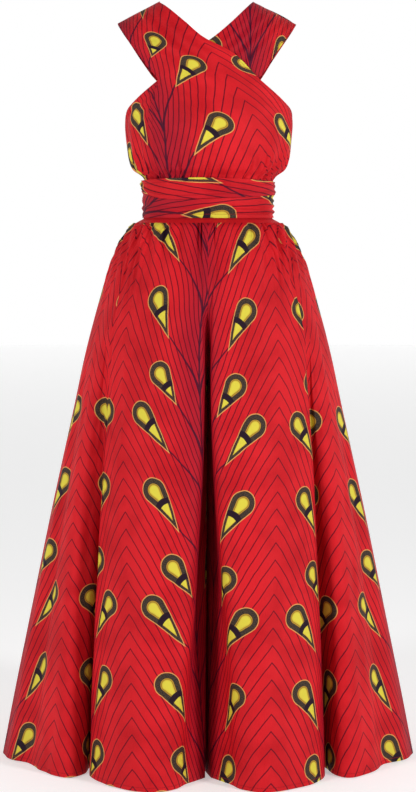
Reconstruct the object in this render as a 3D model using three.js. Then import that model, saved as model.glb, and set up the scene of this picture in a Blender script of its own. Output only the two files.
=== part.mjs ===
// A wide leg wrap jumpsuit, filled out as it is when worn. Millimetres, +Z up, front towards -Y.
// Left and right are the wearer's, so the right leg is at -X. The origin is between the shoulders, where the
// straps lie on the wearer. Inside this file heights are measured up from the hem.
import * as THREE from 'three';
import { mergeVertices } from 'three/addons/utils/BufferGeometryUtils.js';

// Driving dimensions
const shoulderHeight = 1422; // hem to the inner end of the shoulder ridge
const clothThickness = 2;
const seamGap = 0.3;
const crotchHeight = 748; // lowest point of the crotch seam
const riseHeight = 838; // where the crotch seam leaves the front and turns under
const legTop = 1009.4;
const bandBottom = 1009.7;
const bandTop = 1086;
const bodiceBottom = 1086.3;
const sideHeight = 1205; // top of the cloth at the side, under the armhole
const chestWidth = 176; // half width of the form above the armholes

const clothMaterial = (color) => new THREE.MeshStandardMaterial({ color, roughness: 0.62, metalness: 0 });

// The leg's smooth cone, without folds: half width, depth to the front and back, and how round it is
// (2 is an ellipse, less is nearer a diamond).
const legCone = [
  { height: 0, width: 390, front: 300, back: 286, round: 1.5 },
  { height: 114, width: 368, front: 288, back: 274, round: 1.52 },
  { height: 285, width: 333, front: 268, back: 254, round: 1.58 },
  { height: 456, width: 298, front: 246, back: 232, round: 1.66 },
  { height: 661, width: 253, front: 213, back: 202, round: 1.8 },
  { height: 764, width: 231, front: 192, back: 184, round: 1.88 },
  { height: 866, width: 204, front: 166, back: 160, round: 1.95 },
  { height: 935, width: 183, front: 142, back: 138, round: 2 },
  { height: 970, width: 167, front: 127, back: 124, round: 2 },
  { height: 1000, width: 149, front: 113, back: 110, round: 2 },
  { height: 1010, width: 137, front: 104, back: 101, round: 2 },
];

// Points round each quarter of the hem, from the crest beside the gap between the legs to the side seam. turn
// is the place of the same point at the waist, in degrees round from the centre. across and deep are its
// place at the hem, starts is the height where it leaves the cone, and steps is how many columns of faces lead
// to it.
const frontFolds = [
  { name: 'lobeCrest', turn: 27, across: 102, deep: 279, starts: 900, steps: 2 },
  { name: 'lobeShoulder', turn: 41, across: 158, deep: 252, starts: 900, steps: 2 },
  { name: 'lobeSide', turn: 50, across: 198, deep: 205, starts: 850, steps: 2 },
  { name: 'lip', turn: 54, across: 214, deep: 162, starts: 800, steps: 2 },
  { name: 'valleyIn', turn: 56, across: 203, deep: 110, starts: 790, steps: 2 },
  { name: 'valleyOut', turn: 58, across: 215, deep: 106, starts: 790, steps: 1 },
  { name: 'outerRise', turn: 61, across: 229, deep: 152, starts: 800, steps: 2 },
  { name: 'outerCrest', turn: 66, across: 256, deep: 179, starts: 780, steps: 2 },
  { name: 'outerSide', turn: 74, across: 303, deep: 138, starts: 760, steps: 2 },
  { name: 'sideFold', turn: 80, across: 328, deep: 84, starts: 700, steps: 1 },
  { name: 'sidePuff', turn: 86, across: 370, deep: 48, starts: 700, steps: 1 },
  { name: 'sideSeam', turn: 90, across: 390, deep: 0, starts: 700, steps: 1 },
];
const backFolds = [
  { name: 'lobeCrest', turn: 24, across: 104, deep: 266, starts: 880, steps: 2 },
  { name: 'lobeSide', turn: 38, across: 166, deep: 218, starts: 860, steps: 2 },
  { name: 'valley', turn: 50, across: 204, deep: 128, starts: 800, steps: 3 },
  { name: 'outerRise', turn: 58, across: 236, deep: 156, starts: 800, steps: 2 },
  { name: 'outerCrest', turn: 66, across: 274, deep: 160, starts: 780, steps: 2 },
  { name: 'sideFold', turn: 78, across: 318, deep: 84, starts: 720, steps: 1 },
  { name: 'sidePuff', turn: 85, across: 366, deep: 52, starts: 700, steps: 1 },
  { name: 'sideSeam', turn: 90, across: 390, deep: 0, starts: 700, steps: 1 },
];
// The gap between the legs: wedge is half its width at the front, inset is how far its bottom lies behind the
// cone, and dip is how far the edges beside it are rounded off.
const parting = [
  { height: 0, wedge: 60, inset: 121, dip: 30 },
  { height: 133, wedge: 52, inset: 132, dip: 28 },
  { height: 229, wedge: 44, inset: 137, dip: 26 },
  { height: 338, wedge: 35, inset: 136, dip: 23 },
  { height: 430, wedge: 28, inset: 129, dip: 20 },
  { height: 525, wedge: 21, inset: 116, dip: 16 },
  { height: 640, wedge: 14, inset: 92, dip: 12 },
  { height: 748, wedge: 11, inset: 60, dip: 8 },
  { height: 838, wedge: 13, inset: 20, dip: 4 },
  { height: 900, wedge: 17, inset: 3, dip: 1 },
  { height: 960, wedge: 20, inset: 0, dip: 0 },
  { height: 1010, wedge: 19, inset: 0, dip: 0 },
];
const flankPlace = { across: 0.5, deep: 0.46 }; // of the way from the gap's bottom out to its edge
const partingSteps = 2; // columns of faces to the flank, and again to the edge
const inseamSpread = 5; // how far from the middle the inside of each leg is at the hem
const foldGrowth = 0.85; // how fast a fold grows below its start, 1 is evenly
const innerSteps = 4; // columns of faces on the inside of a leg
const innerSway = 14; // how far the insides of both legs sway to the wearer's right at the hem
// the small gathers below the waistband: they grow from the height fades to full, and die out within a few
// columns of a seam
const gather = { depth: 3, spacing: 30, fades: 880, full: 989, seamColumns: 3 };

const legRows = [0, 70, 150, 240, 335, 430, 525, 615, 690, 748, 775, 805, 838, 880, 925, 965, 995]; // heights

// The form under the bodice: half width, depth to the front and back.
const torsoForm = [
  { height: 1080, width: 118, front: 84, back: 82 },
  { height: 1095, width: 118, front: 84, back: 82 },
  { height: 1108, width: 134, front: 99, back: 92 },
  { height: 1126, width: 143, front: 108, back: 96 },
  { height: 1155, width: 150, front: 116, back: 99 },
  { height: 1185, width: 153, front: 119, back: 101 },
  { height: 1212, width: 153, front: 117, back: 102 },
  { height: 1250, width: 155, front: 110, back: 102 },
  { height: 1290, width: 164, front: 103, back: 100 },
  { height: 1330, width: 172, front: 96, back: 94 },
  { height: 1360, width: chestWidth, front: 84, back: 84 },
  { height: 1390, width: chestWidth, front: 72, back: 74 },
  { height: 1425, width: chestWidth, front: 62, back: 66 },
];
// the ridge over the shoulders, and how softly it rolls over
const shoulderLine = { across: 88, rise: 1422, slope: 40 / 76, roll: 46 };

// Edges of the straps, from the waist to the shoulder ridge. near is the edge on the side of the strap's own
// shoulder, far is the other one. Turn is in degrees round the form from the middle, towards that shoulder,
// up is the height, and steps is how many rows of faces lead there.
const overStrap = [
  { nearTurn: 41, nearUp: bodiceBottom, farTurn: -90, farUp: bodiceBottom, steps: 0 },
  { nearTurn: 41, nearUp: 1095, farTurn: -90, farUp: 1095, steps: 1 },
  { nearTurn: 38, nearUp: 1108, farTurn: -90, farUp: 1108, steps: 1 },
  { nearTurn: 38.5, nearUp: 1132, farTurn: -90, farUp: 1136, steps: 2 },
  { nearTurn: 42, nearUp: 1165, farTurn: -90, farUp: 1172, steps: 2 },
  { nearTurn: 44, nearUp: 1200, farTurn: -90, farUp: sideHeight, steps: 2 },
  { nearTurn: 40.5, nearUp: 1238, farTurn: -60, farUp: 1238, steps: 2 },
  { nearTurn: 34, nearUp: 1272, farTurn: -35, farUp: 1274, steps: 2 },
  { nearTurn: 40, nearUp: 1295, farTurn: -15, farUp: 1322, steps: 2 },
  { nearTurn: 47, nearUp: 1322, farTurn: 2, farUp: 1350, steps: 2 },
  { nearTurn: 56, nearUp: 1354, farTurn: 13.8, farUp: 1382, steps: 2 },
  { nearTurn: 65.5, nearUp: 1376, farTurn: 26.3, farUp: 1414, steps: 2 },
  { nearTurn: 68.7, nearUp: 1382, farTurn: 30, farUp: 1422, steps: 2 },
];
const underStrap = [
  { nearTurn: -5, nearUp: bodiceBottom, farTurn: -90, farUp: bodiceBottom, steps: 0 },
  { nearTurn: -5, nearUp: 1095, farTurn: -90, farUp: 1095, steps: 1 },
  { nearTurn: -3.5, nearUp: 1108, farTurn: -90, farUp: 1108, steps: 1 },
  { nearTurn: 0, nearUp: 1132, farTurn: -90, farUp: 1136, steps: 2 },
  { nearTurn: 4.5, nearUp: 1165, farTurn: -90, farUp: 1172, steps: 2 },
  { nearTurn: 11, nearUp: 1200, farTurn: -90, farUp: sideHeight, steps: 2 },
  { nearTurn: 22, nearUp: 1238, farTurn: -60, farUp: 1238, steps: 2 },
  { nearTurn: 35, nearUp: 1274, farTurn: -34, farUp: 1274, steps: 2 },
  { nearTurn: 40.4, nearUp: 1295, farTurn: -14.4, farUp: 1318, steps: 2 },
  { nearTurn: 46.5, nearUp: 1322, farTurn: 0.7, farUp: 1346, steps: 2 },
  { nearTurn: 56, nearUp: 1354, farTurn: 13.8, farUp: 1380, steps: 2 },
  { nearTurn: 65.5, nearUp: 1376, farTurn: 25, farUp: 1413, steps: 2 },
  { nearTurn: 68.7, nearUp: 1382, farTurn: 28.5, farUp: 1424, steps: 2 },
];
const strapColumns = 12;
const strapLayer = clothThickness + 2.1; // how far the upper strap lies outside the lower one
// the strap's gathers above the sash
const blouse = { pleats: 9, depth: 3, starts: 1096, rise: 16, full: 1126, fades: 1165 };

// The waist: how far each ring stands outside the bodice's waist, by height.
const bandShape = [
  { height: bandBottom, out: 15 },
  { height: 1013, out: 9 },
  { height: 1016.4, out: 2.4 },
  { height: 1018.6, out: 0.3 },
  { height: 1022, out: 0 },
  { height: bandTop, out: 0 },
];
const bandColumns = 42;
const waist = { width: 119, front: 85, back: 83 };
// Each wrap of the sash: its lower and upper edge round the waist. A turn of 0 is the middle of the back,
// 0.25 the wearer's left side, 0.5 the front and 0.75 the right side.
const sashLower = [
  { turn: 0, bottom: 1019, top: 1062 },
  { turn: 0.13, bottom: 1019, top: 1062 },
  { turn: 0.25, bottom: 1019, top: 1068 },
  { turn: 0.5, bottom: 1018.5, top: 1066 },
  { turn: 0.75, bottom: 1019, top: 1080 },
  { turn: 0.85, bottom: 1019, top: 1062 },
  { turn: 1, bottom: 1019, top: 1062 },
];
const sashUpper = [
  { turn: 0, bottom: 1064, top: 1088 },
  { turn: 0.13, bottom: 1064, top: 1088 },
  { turn: 0.25, bottom: 1062.5, top: 1086 },
  { turn: 0.5, bottom: 1055, top: 1093 },
  { turn: 0.6, bottom: 1054, top: 1092 },
  { turn: 0.68, bottom: 1062, top: 1090 },
  { turn: 0.75, bottom: 1075, top: 1089 },
  { turn: 0.85, bottom: 1066, top: 1088 },
  { turn: 1, bottom: 1064, top: 1088 },
];
const sashLie = { lower: 2.8, upper: 5.6 }; // how far each wrap's inside lies outside the bare waist
const sashColumns = 42;
const sashRowCount = 2;
const sashLap = 0.06; // of a turn
// the turns where the end rises over the start
const sashRise = { from: 1 - 2.4 * sashLap, to: 1 - 0.9 * sashLap };
const sashStep = clothThickness + seamGap; // how far the lapping end lies outside the start

const lerp = THREE.MathUtils.lerp;
const degrees = THREE.MathUtils.degToRad;

// Value of a named column at a place along the key column, on a smooth curve through the table's rows.
function readTable(table, column, place, key = 'height') {
  const last = table.length - 1;
  let i = 0;
  while (i < last - 1 && place > table[i + 1][key]) i += 1;
  const [low, high] = [table[i], table[i + 1]];
  const span = high[key] - low[key];
  const t = THREE.MathUtils.clamp((place - low[key]) / span, 0, 1);
  const slope = (j) => {
    const before = table[Math.max(j - 1, 0)];
    const after = table[Math.min(j + 1, last)];
    return (after[column] - before[column]) / (after[key] - before[key]);
  };
  const t2 = t * t;
  const t3 = t2 * t;
  return (2 * t3 - 3 * t2 + 1) * low[column] + (t3 - 2 * t2 + t) * span * slope(i)
    + (3 * t2 - 2 * t3) * high[column] + (t3 - t2) * span * slope(i + 1);
}

// A closed wall between two grids of points with the same rows and columns. A closed ring joins its last
// column to its first. Points that lie on each other are joined, and faces with no area are left out.
function wall(outer, inner, ring = false) {
  const rows = outer.length;
  const columns = outer[0].length;
  const corners = [];
  const quad = (a, b, c, d) => corners.push(a, b, c, a, c, d);
  const across = ring ? columns : columns - 1;
  for (let r = 0; r < rows - 1; r += 1) {
    for (let c = 0; c < across; c += 1) {
      const next = (c + 1) % columns;
      quad(outer[r][c], outer[r][next], outer[r + 1][next], outer[r + 1][c]);
      quad(inner[r][next], inner[r][c], inner[r + 1][c], inner[r + 1][next]);
    }
    if (!ring) {
      const last = columns - 1;
      quad(inner[r][0], outer[r][0], outer[r + 1][0], inner[r + 1][0]);
      quad(outer[r][last], inner[r][last], inner[r + 1][last], outer[r + 1][last]);
    }
  }
  for (let c = 0; c < across; c += 1) {
    const next = (c + 1) % columns;
    quad(inner[0][c], inner[0][next], outer[0][next], outer[0][c]);
    quad(outer[rows - 1][c], outer[rows - 1][next], inner[rows - 1][next], inner[rows - 1][c]);
  }
  const loose = new THREE.BufferGeometry().setFromPoints(corners);
  const joined = mergeVertices(loose, 1e-3);
  const index = Array.from(joined.index.array);
  const kept = [];
  for (let i = 0; i < index.length; i += 3) {
    const [a, b, c] = index.slice(i, i + 3);
    if (a !== b && b !== c && c !== a) kept.push(a, b, c);
  }
  joined.setIndex(kept);
  joined.computeVertexNormals();
  return joined;
}

// Turns a grid over, so that a mirrored piece keeps its faces pointing out.
const flipped = (grid) => grid.map((row) => [...row].reverse());

// Place on the leg's smooth cone, an angle round from the centre, in one quarter.
function conePoint(height, angle, side) {
  const round = 2 / readTable(legCone, 'round', height);
  return new THREE.Vector2(
    readTable(legCone, 'width', height) * Math.abs(Math.sin(angle)) ** round,
    readTable(legCone, side, height) * Math.abs(Math.cos(angle)) ** round,
  );
}

// Place of one fold point at a height: on the cone above its start, and drawn to its place at the hem below.
function foldPoint(fold, height, side) {
  const hemWidth = readTable(legCone, 'width', 0);
  const hemDepth = readTable(legCone, side, 0);
  const round = readTable(legCone, 'round', 0) / 2;
  const hemAngle = Math.atan2((fold.across / hemWidth) ** round, (fold.deep / hemDepth) ** round);
  const angle = lerp(hemAngle, degrees(fold.turn), height / legTop);
  const offset = new THREE.Vector2(fold.across, fold.deep).sub(conePoint(0, hemAngle, side));
  const grown = Math.max(0, (fold.starts - height) / fold.starts) ** foldGrowth;
  return conePoint(height, angle, side).addScaledVector(offset, grown);
}

// How far down the inside of the leg a height is, from 0 at the crotch to 1 at the hem.
const downInseam = (height) => Math.max(0, crotchHeight - height) / crotchHeight;

// One row of a leg panel in its quarter (both coordinates positive), from the inseam or crotch seam round to
// the side seam, as points and the directions in which the cloth faces.
function legRow(folds, height, side) {
  const half = clothThickness / 2;
  const gap = seamGap / 2;
  // the gap runs straight down from the centre seam, and the insides of the legs part slowly below it
  const part = THREE.MathUtils.clamp((riseHeight - height) / (riseHeight - crotchHeight), 0, 1);
  const inside = gap + half * part + inseamSpread * downInseam(height);
  const across = readTable(parting, 'wedge', height);
  const coneWidth = readTable(legCone, 'width', height);
  const coneDepth = readTable(legCone, side, height);
  const round = readTable(legCone, 'round', height);
  const coneDeep = coneDepth * (1 - (across / coneWidth) ** round) ** (1 / round);
  const bottom = new THREE.Vector2(inside, coneDepth - readTable(parting, 'inset', height));
  const edge = new THREE.Vector2(across, coneDeep - readTable(parting, 'dip', height));
  const flank = new THREE.Vector2(
    lerp(bottom.x, edge.x, flankPlace.across),
    lerp(bottom.y, edge.y, flankPlace.deep),
  );
  const points = [bottom, flank, edge, ...folds.map((fold) => foldPoint(fold, height, side))];
  const steps = [partingSteps, partingSteps, ...folds.map((fold) => fold.steps)];
  points.at(-1).y = gap;
  const corners = points.map((p) => new THREE.Vector3(p.x, p.y, 0));
  const curve = new THREE.CatmullRomCurve3(corners, false, 'centripetal');
  const row = [];
  // the crotch seam swings under on a quarter of an ellipse
  const start = lerp(bottom.y, gap, 1 - Math.sqrt(1 - part ** 2));
  for (let i = 0; i < innerSteps; i += 1) {
    row.push(new THREE.Vector2(inside, lerp(start, bottom.y, i / innerSteps)));
  }
  row.push(bottom.clone());
  steps.forEach((count, i) => {
    for (let step = 1; step <= count; step += 1) {
      const at = curve.getPoint((i + step / count) / steps.length);
      row.push(new THREE.Vector2(at.x, at.y));
    }
  });
  row.forEach((p) => p.setX(Math.max(p.x, inside)));
  const facing = row.map((p, i) => {
    const before = row[Math.max(i - 1, 0)];
    const after = row[Math.min(i + 1, row.length - 1)];
    const along = after.clone().sub(before);
    if (i === row.length - 1) return new THREE.Vector2(1, 0);
    if (i < innerSteps || along.length() < 1e-6) {
      return new THREE.Vector2(-part, 1 - part).normalize();
    }
    if (i === innerSteps) return new THREE.Vector2(-part, 1).normalize();
    return new THREE.Vector2(-along.y, along.x).normalize();
  });
  return { row, facing };
}

// A trouser front or back. across is -1 for the wearer's right, deep is -1 for the front.
function legPanel(folds, side, across, deep) {
  const half = clothThickness / 2;
  const gap = seamGap / 2;
  const outer = [];
  const inner = [];
  for (const height of [...legRows, legTop]) {
    const { row, facing } = legRow(folds, height, side);
    const gathered = gather.depth * THREE.MathUtils.smoothstep(height, gather.fades, gather.full);
    let run = 0;
    const face = (sign) => row.map((p, i) => {
      if (i > 0) run += p.distanceTo(row[i - 1]);
      const fromSeam = Math.min(row.length - 1 - i, Math.max(0, i - innerSteps));
      const edge = Math.min(1, fromSeam / gather.seamColumns);
      const wave = gathered * edge * Math.sin((2 * Math.PI * run) / gather.spacing);
      const at = p.clone().addScaledVector(facing[i], sign * half + wave);
      const bow = Math.sin((Math.PI * Math.min(i, innerSteps)) / innerSteps);
      const sway = innerSway * downInseam(height) * bow;
      return new THREE.Vector3(across * Math.max(at.x, gap) - sway, deep * Math.max(at.y, gap), height);
    });
    outer.push(face(1));
    run = 0;
    inner.push(face(-1));
  }
  return across * deep > 0 ? wall(flipped(outer), flipped(inner)) : wall(outer, inner);
}

// Height of the shoulder ridge, which slopes down outwards.
function ridgeHeight(across, out) {
  return shoulderLine.rise + out - (Math.abs(across) - shoulderLine.across) * shoulderLine.slope;
}

// Place on the bodice's form: a turn round from the centre, a height, and how far the cloth lies outside it.
function formPoint(turn, height, side, out) {
  const across = (readTable(torsoForm, 'width', height) + out) * Math.sin(turn);
  const under = THREE.MathUtils.clamp((ridgeHeight(across, out) - height) / shoulderLine.roll, 0, 1);
  const rolled = Math.sqrt(1 - (1 - under) ** 2);
  const depth = (readTable(torsoForm, side, height) + out) * Math.cos(turn) * rolled;
  return new THREE.Vector3(across, depth, height);
}

// One stretch of a strap, from the waist to the shoulder ridge. shoulder is -1 for the wearer's right.
function strap(edges, side, shoulder, deep, layer) {
  const curves = ['near', 'far'].map((edge) => new THREE.CatmullRomCurve3(
    edges.map((e) => new THREE.Vector3(e[`${edge}Turn`], e[`${edge}Up`], 0)), false, 'centripetal',
  ));
  const places = edges.flatMap(({ steps }, i) => (
    i === 0 ? [0] : Array.from({ length: steps }, (_, step) => i - 1 + (step + 1) / steps)
  ));
  const grid = (out) => places.map((place, r) => {
    const [near, far] = curves.map((curve) => curve.getPoint(place / (edges.length - 1)));
    return Array.from({ length: strapColumns + 1 }, (_, c) => {
      const t = c / strapColumns;
      const height = lerp(far.y, near.y, t);
      const turn = degrees(Math.max(lerp(far.x, near.x, t), -90));
      const bloused = THREE.MathUtils.smoothstep(height, blouse.starts, blouse.starts + blouse.rise)
        * (1 - THREE.MathUtils.smoothstep(height, blouse.full, blouse.fades));
      const pleat = blouse.depth * bloused * (0.5 - 0.5 * Math.cos(2 * blouse.pleats * turn));
      const at = formPoint(turn, height, side, out + layer + pleat);
      if (r === places.length - 1) at.setY(0).setZ(ridgeHeight(at.x, out + layer));
      return new THREE.Vector3(shoulder * at.x, deep * Math.max(at.y, seamGap / 2), at.z);
    });
  });
  const [outer, inner] = [grid(clothThickness), grid(0)];
  return shoulder * deep > 0 ? wall(flipped(outer), flipped(inner)) : wall(outer, inner);
}

// Place on a ring round the waist. A turn of 0 is the middle of the back, and it runs by the wearer's left.
function waistPoint(turn, height, out) {
  const angle = 2 * Math.PI * turn;
  const toBack = Math.cos(angle);
  const depth = (toBack > 0 ? waist.back : waist.front) + out;
  return new THREE.Vector3((waist.width + out) * Math.sin(angle), depth * toBack, height);
}

function waistband() {
  const grid = (out) => bandShape.map((row) => Array.from({ length: bandColumns }, (_, c) => (
    waistPoint(c / bandColumns, row.height, row.out + out)
  )));
  return wall(flipped(grid(clothThickness)), flipped(grid(0)), true);
}

// One wrap of the sash, an open strip that laps over its own start at the middle of the back.
function sashWrap(edges, lie) {
  const grid = (out) => Array.from({ length: sashRowCount + 1 }, (_, r) => (
    Array.from({ length: sashColumns + 1 }, (__, c) => {
      const turn = (c / sashColumns) * (1 + sashLap) - sashLap / 2;
      const bottom = readTable(edges, 'bottom', turn, 'turn');
      const top = readTable(edges, 'top', turn, 'turn');
      const lapped = THREE.MathUtils.smoothstep(turn, sashRise.from, sashRise.to);
      return waistPoint(turn, lerp(bottom, top, r / sashRowCount), lie + out + lapped * sashStep);
    })
  ));
  return wall(flipped(grid(clothThickness)), flipped(grid(0)));
}

const jumpsuit = new THREE.Group();
const garment = new THREE.Group(); // in heights above the hem
garment.position.z = -shoulderHeight;
jumpsuit.add(garment);

function addPiece(name, geometry, color) {
  const piece = new THREE.Mesh(geometry, clothMaterial(color));
  piece.name = name;
  garment.add(piece);
}

addPiece('waistband', waistband(), 0xc41c2e);
addPiece('sash_lower', sashWrap(sashLower, sashLie.lower), 0xd02034);
addPiece('sash_upper', sashWrap(sashUpper, sashLie.upper), 0xd6243a);
addPiece('strap_over_front', strap(overStrap, 'front', -1, -1, strapLayer), 0xdd2236);
addPiece('strap_under_front', strap(underStrap, 'front', 1, -1, 0), 0xc81e30);
addPiece('strap_over_back', strap(overStrap, 'back', -1, 1, strapLayer), 0xdd2236);
addPiece('strap_under_back', strap(underStrap, 'back', 1, 1, 0), 0xc81e30);
addPiece('leg_right_front', legPanel(frontFolds, 'front', -1, -1), 0xdb2034);
addPiece('leg_left_front', legPanel(frontFolds, 'front', 1, -1), 0xd81f33);
addPiece('leg_right_back', legPanel(backFolds, 'back', -1, 1), 0xd01e31);
addPiece('leg_left_back', legPanel(backFolds, 'back', 1, 1), 0xcd1d30);

export default jumpsuit;
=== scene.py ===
import math

import bmesh
import bpy
import numpy as np
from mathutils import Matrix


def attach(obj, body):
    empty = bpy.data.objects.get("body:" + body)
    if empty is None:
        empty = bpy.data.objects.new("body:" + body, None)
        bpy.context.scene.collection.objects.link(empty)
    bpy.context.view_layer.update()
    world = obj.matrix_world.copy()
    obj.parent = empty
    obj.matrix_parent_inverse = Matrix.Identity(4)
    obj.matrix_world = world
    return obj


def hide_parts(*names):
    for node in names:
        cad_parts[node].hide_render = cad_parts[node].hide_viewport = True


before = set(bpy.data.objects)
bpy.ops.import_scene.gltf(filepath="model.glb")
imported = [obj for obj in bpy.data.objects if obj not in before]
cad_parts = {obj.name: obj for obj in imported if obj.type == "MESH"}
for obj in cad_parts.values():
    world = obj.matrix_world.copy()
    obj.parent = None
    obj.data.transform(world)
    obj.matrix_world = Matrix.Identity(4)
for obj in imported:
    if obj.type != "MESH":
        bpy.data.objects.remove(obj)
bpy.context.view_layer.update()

# Sizes are in millimetres with heights above the hem, as a maker measures them.
# They turn to metres when a piece's mesh is made.
hemToShoulder = 1422
shell = {
    "solid": 2.0,  # the wall of the solid
    "cloth": 0.9,  # the thin cloth on it
    "gap": -0.05,  # half a seam between two pieces, drawn shut
    "waistSeam": 0.2,  # how far the legs and the waistband reach out to meet
    "weld": 2e-6, "sliver": 1e-6,  # in metres
    "sharpFrom": 60,
}


def smooth(value, low, high):
    t = np.clip((value - low) / (high - low), 0, 1)
    return t * t * (3 - 2 * t)


def mix(a, b, t):
    return a + (b - a) * t


def throughPoints(keys, values, places):
    # a smooth curve through points, level with the chords beside each point
    keys, values = np.asarray(keys, float), np.asarray(values, float)
    places = np.asarray(places, float)
    slopes = np.empty(len(keys))
    slopes[1:-1] = (values[2:] - values[:-2]) / (keys[2:] - keys[:-2])
    slopes[0] = (values[1] - values[0]) / (keys[1] - keys[0])
    slopes[-1] = (values[-1] - values[-2]) / (keys[-1] - keys[-2])
    i = np.clip(np.searchsorted(keys, places, side="left") - 1, 0, len(keys) - 2)
    span = keys[i + 1] - keys[i]
    t = np.clip((places - keys[i]) / span, 0, 1)
    t2, t3 = t * t, t * t * t
    start = (2 * t3 - 3 * t2 + 1) * values[i] + (t3 - 2 * t2 + t) * span * slopes[i]
    end = (3 * t2 - 2 * t3) * values[i + 1] + (t3 - t2) * span * slopes[i + 1]
    return start + end


def throughRows(points, places):
    # a centripetal curve through each row of points, read at places from 0 to 1
    last = points.shape[1] - 1
    ends = [2 * points[:, :1] - points[:, 1:2], points, 2 * points[:, -1:] - points[:, -2:-1]]
    full = np.concatenate(ends, axis=1)
    at = np.asarray(places) * last
    i = np.minimum(at.astype(int), last - 1)
    t = (at - i)[None, :, None]
    p0, p1, p2, p3 = (full[:, i + k] for k in range(4))
    steps = [np.sqrt(np.linalg.norm(b - a, axis=2, keepdims=True)) for a, b in ((p0, p1), (p1, p2), (p2, p3))]
    mid = np.where(steps[1] < 1e-4, 1.0, steps[1])
    before = np.where(steps[0] < 1e-4, mid, steps[0])
    after = np.where(steps[2] < 1e-4, mid, steps[2])
    pull1 = ((p1 - p0) / before - (p2 - p0) / (before + mid) + (p2 - p1) / mid) * mid
    pull2 = ((p2 - p1) / mid - (p3 - p1) / (mid + after) + (p3 - p2) / after) * mid
    return (p1 + pull1 * t + (-3 * p1 + 3 * p2 - 2 * pull1 - pull2) * t ** 2
            + (2 * p1 - 2 * p2 + pull1 + pull2) * t ** 3)


def uneven(across, along, seed, wave, reach, count=7):
    # soft uneven ridges, about one in each wave across and reach along
    rng = np.random.default_rng(seed)
    total = np.zeros(np.broadcast(across, along).shape)
    for _ in range(count):
        turn = rng.uniform(0.6, 1.6) / wave
        lean = rng.uniform(-1, 1) / reach
        phase = across * turn + along * lean + rng.random()
        total = total + np.sin(2 * math.pi * phase) * rng.uniform(0.5, 1)
    return total / math.sqrt(count)


def clothPiece(name, outer, inner, flats, hemFar, ring=False, split=None, sway=None):
    # a thin shell between two grids of points, with its flat coordinates, the distance to its hem, and how far
    # the print's drops are pulled askew. Past the split column the second flat coordinates hold.
    rows, columns = outer.shape[:2]
    count = rows * columns
    points = np.concatenate([outer.reshape(-1, 3), inner.reshape(-1, 3)]) / 1000
    points[:, 2] -= hemToShoulder / 1000
    number = np.arange(count).reshape(rows, columns)
    here = number if ring else number[:, :-1]
    there = np.roll(number, -1, axis=1) if ring else number[:, 1:]
    top = np.stack([here[:-1], there[:-1], there[1:], here[1:]], axis=-1).reshape(-1, 4)
    bottom = top[:, ::-1] + count
    rims = [np.stack([here[0] + count, there[0] + count, there[0], here[0]], axis=-1),
            np.stack([here[-1], there[-1], there[-1] + count, here[-1] + count], axis=-1)]
    if not ring:
        first, last = number[:, 0], number[:, -1]
        rims.append(np.stack([first[:-1] + count, first[:-1], first[1:], first[1:] + count], axis=-1))
        rims.append(np.stack([last[:-1], last[:-1] + count, last[1:] + count, last[1:]], axis=-1))
    faces = np.concatenate([top, bottom] + rims)
    mesh = bpy.data.meshes.new(name)
    mesh.from_pydata(points.tolist(), [], faces.tolist())
    corners = faces.reshape(-1) % count
    flat = flats[0].reshape(-1, 2)[corners]
    if split is not None:
        faceColumn = (faces % count % columns).max(axis=1)
        beyond = np.repeat(faceColumn > split, 4)
        flat = np.where(beyond[:, None], flats[1].reshape(-1, 2)[corners], flat)
    flatLayer = mesh.uv_layers.new(name="clothFlat")
    flatLayer.data.foreach_set("uv", (flat / 1000).astype(np.float32).reshape(-1))
    carried = {"hemFar": hemFar} if sway is None else {"hemFar": hemFar, "dropSway": sway}
    for label, values in carried.items():
        layer = mesh.attributes.new(label, "FLOAT", "POINT")
        layer.data.foreach_set("value", np.tile(values.reshape(-1), 2).astype(np.float32))
    work = bmesh.new()
    work.from_mesh(mesh)
    bmesh.ops.remove_doubles(work, verts=work.verts, dist=shell["weld"])
    bmesh.ops.dissolve_degenerate(work, dist=shell["sliver"], edges=work.edges)
    work.to_mesh(mesh)
    work.free()
    mesh.polygons.foreach_set("use_smooth", np.ones(len(mesh.polygons), bool))
    mesh.set_sharp_from_angle(angle=math.radians(shell["sharpFrom"]))
    piece = bpy.data.objects.new(name, mesh)
    bpy.context.scene.collection.objects.link(piece)
    piece.data.materials.append(clothMaterials["printed"])
    return piece


def newGroup(name, inputs, outputs):
    group = bpy.data.node_groups.new(name, "ShaderNodeTree")
    for label, kind, value in inputs:
        socket = group.interface.new_socket(name=label, in_out="INPUT", socket_type=kind)
        if value is not None:
            socket.default_value = value
    for label, kind in outputs:
        group.interface.new_socket(name=label, in_out="OUTPUT", socket_type=kind)
    source = group.nodes.new("NodeGroupInput")
    sink = group.nodes.new("NodeGroupOutput")
    return group, source.outputs, sink.inputs


def feed(tree, socket, value):
    if isinstance(value, bpy.types.NodeSocket):
        tree.links.new(value, socket)
    else:
        socket.default_value = value


def calc(tree, operation, *values):
    node = tree.nodes.new("ShaderNodeMath")
    node.operation = operation
    for socket, value in zip(node.inputs, values):
        feed(tree, socket, value)
    return node.outputs[0]


def arithmetic(tree):
    # short names for the sums of one tree
    def times(a, b):
        return calc(tree, "MULTIPLY", a, b)

    def plus(a, b):
        return calc(tree, "ADD", a, b)

    def less(a, b):
        return calc(tree, "SUBTRACT", a, b)

    return times, plus, less


def fade(tree, value, low, high):
    # 0 at low and 1 at high, softly
    node = tree.nodes.new("ShaderNodeMapRange")
    node.interpolation_type = "SMOOTHSTEP"
    feed(tree, node.inputs["Value"], value)
    feed(tree, node.inputs["From Min"], low)
    feed(tree, node.inputs["From Max"], high)
    return node.outputs["Result"]


def fall(tree, value, low, high):
    # 1 at low and 0 at high, softly
    return calc(tree, "SUBTRACT", 1.0, fade(tree, value, low, high))


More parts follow.
